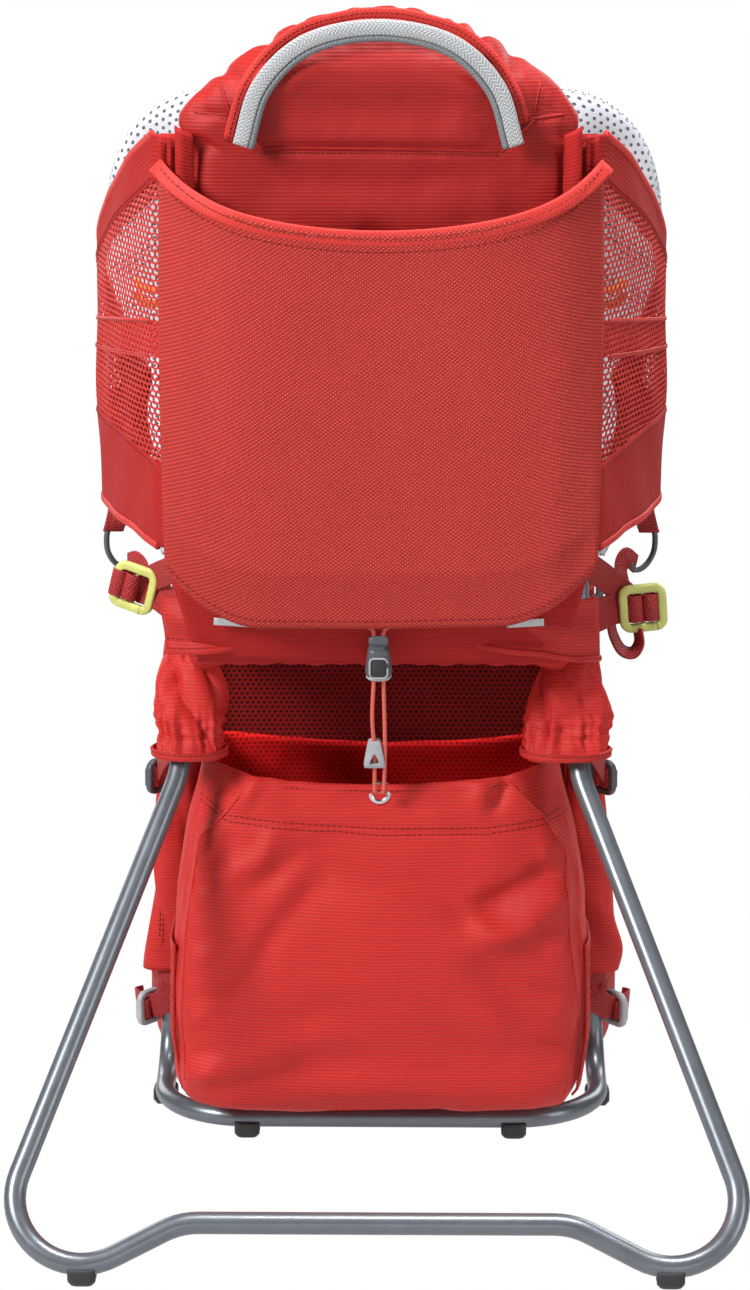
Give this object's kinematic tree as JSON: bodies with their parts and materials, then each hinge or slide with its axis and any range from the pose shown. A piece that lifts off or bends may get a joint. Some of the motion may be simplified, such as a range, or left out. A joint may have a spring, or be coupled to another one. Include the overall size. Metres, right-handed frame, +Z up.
{
  "type": "child carrier backpack",
  "caption": "Framed child carrier backpack with a fold-out kickstand, padded cockpit, stash pocket, lower bag, shoulder straps and hip belt.",
  "frame": {"origin": "centre of the footprint box on the floor", "axes": "+Z up, +Y from the child's seat back towards the wearer, +X to the right seen from behind the child"},
  "size_m": [0.4342, 0.5404, 0.722],
  "materials": {
    "tube": "satin graphite grey",
    "rubber": "matt",
    "steel": "brushed",
    "fabric": "fine ripstop weave",
    "pocket_fabric": "fine twill",
    "mesh_fabric": "open knitted mesh",
    "pad": "white spacer mesh",
    "webbing": "woven webbing",
    "handle_webbing": "light grey webbing",
    "dark_plastic": "satin",
    "grey_plastic": "satin",
    "lime_plastic": "satin",
    "orange_plastic": "satin"
  },
  "bodies": {
    "pack": {"back_mesh": "mesh_fabric", "back_rail": "steel", "bag_eyelet": "steel", "base_foot_front_left": "rubber", "base_foot_front_right": "rubber", "base_foot_rear_left": "rubber", "base_foot_rear_right": "rubber", "chin_pad": "fabric", "cockpit_front_panel": "fabric", "cockpit_rear_panel": "fabric", "cockpit_side_left": "mesh_fabric", "cockpit_side_right": "mesh_fabric", "cord_pull": "grey_plastic", "drawcord": "webbing", "frame_top_hoop": "tube", "harness_buckle": "dark_plastic", "harness_straps": "webbing", "headrest_pad": "fabric", "hip_ladder_left": "grey_plastic", "hip_ladder_right": "grey_plastic", "lime_ladder_left": "lime_plastic", "lime_ladder_right": "lime_plastic", "lower_bag": "fabric", "lumbar_pad": "pad", "main_frame_tube": "tube", "pivot_pin_left": "steel", "pivot_pin_right": "steel", "rear_pocket": "pocket_fabric", "seat_hoop_tube": "tube", "seat_pad": "fabric", "side_ladder_left": "dark_plastic", "side_ladder_right": "dark_plastic", "sleeve_left": "fabric", "sleeve_right": "fabric"},
    "kickstand": {"kickstand_tube": "tube", "stand_foot_left": "rubber", "stand_foot_right": "rubber"},
    "grab_handle": {"grab_handle": "handle_webbing"},
    "cord_lock": {"cord_lock_body": "dark_plastic"},
    "cord_lock_button": {"cord_lock_button": "dark_plastic"},
    "yoke": {"yoke_slider": "dark_plastic", "yoke_pad": "pad", "shoulder_strap_left": "pad", "shoulder_strap_right": "pad", "strap_ladder_left": "dark_plastic", "strap_ladder_right": "dark_plastic", "lower_webbing_left": "webbing", "lower_webbing_right": "webbing"},
    "sternum_strap": {"sternum_webbing_left": "webbing", "sternum_webbing_right": "webbing", "sternum_buckle_female": "dark_plastic"},
    "sternum_male": {"sternum_buckle_male": "dark_plastic"},
    "hip_fin_left": {"hip_fin_left": "pad", "hip_buckle_female": "dark_plastic"},
    "hip_fin_right": {"hip_fin_right": "pad", "hip_buckle_male": "dark_plastic"},
    "harness_button": {"harness_button": "orange_plastic"},
    "side_hook_left": {"side_hook_left": "steel"},
    "side_hook_right": {"side_hook_right": "steel"}
  },
  "joints": [
    {"name": "kickstand_fold", "type": "hinge", "parent": "pack", "child": "kickstand", "pos_m": [0, -0.04079, 0.325], "axis": [1, 0, 0], "range_deg": [0, 40], "deforming": ["sleeve_left", "sleeve_right"]},
    {"name": "grab_handle_swing", "type": "hinge", "parent": "pack", "child": "grab_handle", "pos_m": [0, -0.15279, 0.6455], "axis": [1, 0, 0], "range_deg": [0, 75]},
    {"name": "cord_lock_slide", "type": "slide", "parent": "pack", "child": "cord_lock", "axis": [0, -0.3659, 0.9307], "range_m": [-0.04, 0]},
    {"name": "cord_lock_press", "type": "slide", "parent": "cord_lock", "child": "cord_lock_button", "axis": [0, 0.3659, -0.9307], "range_m": [0, 0.0028], "stiffness_N_per_m": 300, "springref_m": -0.002},
    {"name": "back_length", "type": "slide", "parent": "pack", "child": "yoke", "axis": [0, -0.1136, 0.9935], "range_m": [-0.1, 0.02], "deforming": ["lower_webbing_left", "lower_webbing_right"]},
    {"name": "sternum_height", "type": "slide", "parent": "yoke", "child": "sternum_strap", "axis": [0, 0, 1], "range_m": [-0.03, 0.03]},
    {"name": "sternum_release", "type": "slide", "parent": "sternum_strap", "child": "sternum_male", "axis": [1, 0, 0], "range_m": [0, 0.025], "deforming": ["sternum_webbing_right"]},
    {"name": "hip_fin_left_swing", "type": "hinge", "parent": "pack", "child": "hip_fin_left", "pos_m": [-0.096, 0.10121, 0.048], "axis": [0, 0, 1], "range_deg": [-8, 25]},
    {"name": "hip_fin_right_swing", "type": "hinge", "parent": "pack", "child": "hip_fin_right", "pos_m": [0.096, 0.10121, 0.048], "axis": [0, 0, -1], "range_deg": [-8, 25]},
    {"name": "harness_button_press", "type": "slide", "parent": "pack", "child": "harness_button", "axis": [0, -1, 0], "range_m": [0, 0.0016], "stiffness_N_per_m": 400, "springref_m": -0.002},
    {"name": "side_hook_left_swing", "type": "hinge", "parent": "pack", "child": "side_hook_left", "pos_m": [-0.166, 0.00121, 0.407], "axis": [0, 1, 0], "range_deg": [-20, 20]},
    {"name": "side_hook_right_swing", "type": "hinge", "parent": "pack", "child": "side_hook_right", "pos_m": [0.166, 0.00121, 0.407], "axis": [0, 1, 0], "range_deg": [-20, 20]}
  ]
}
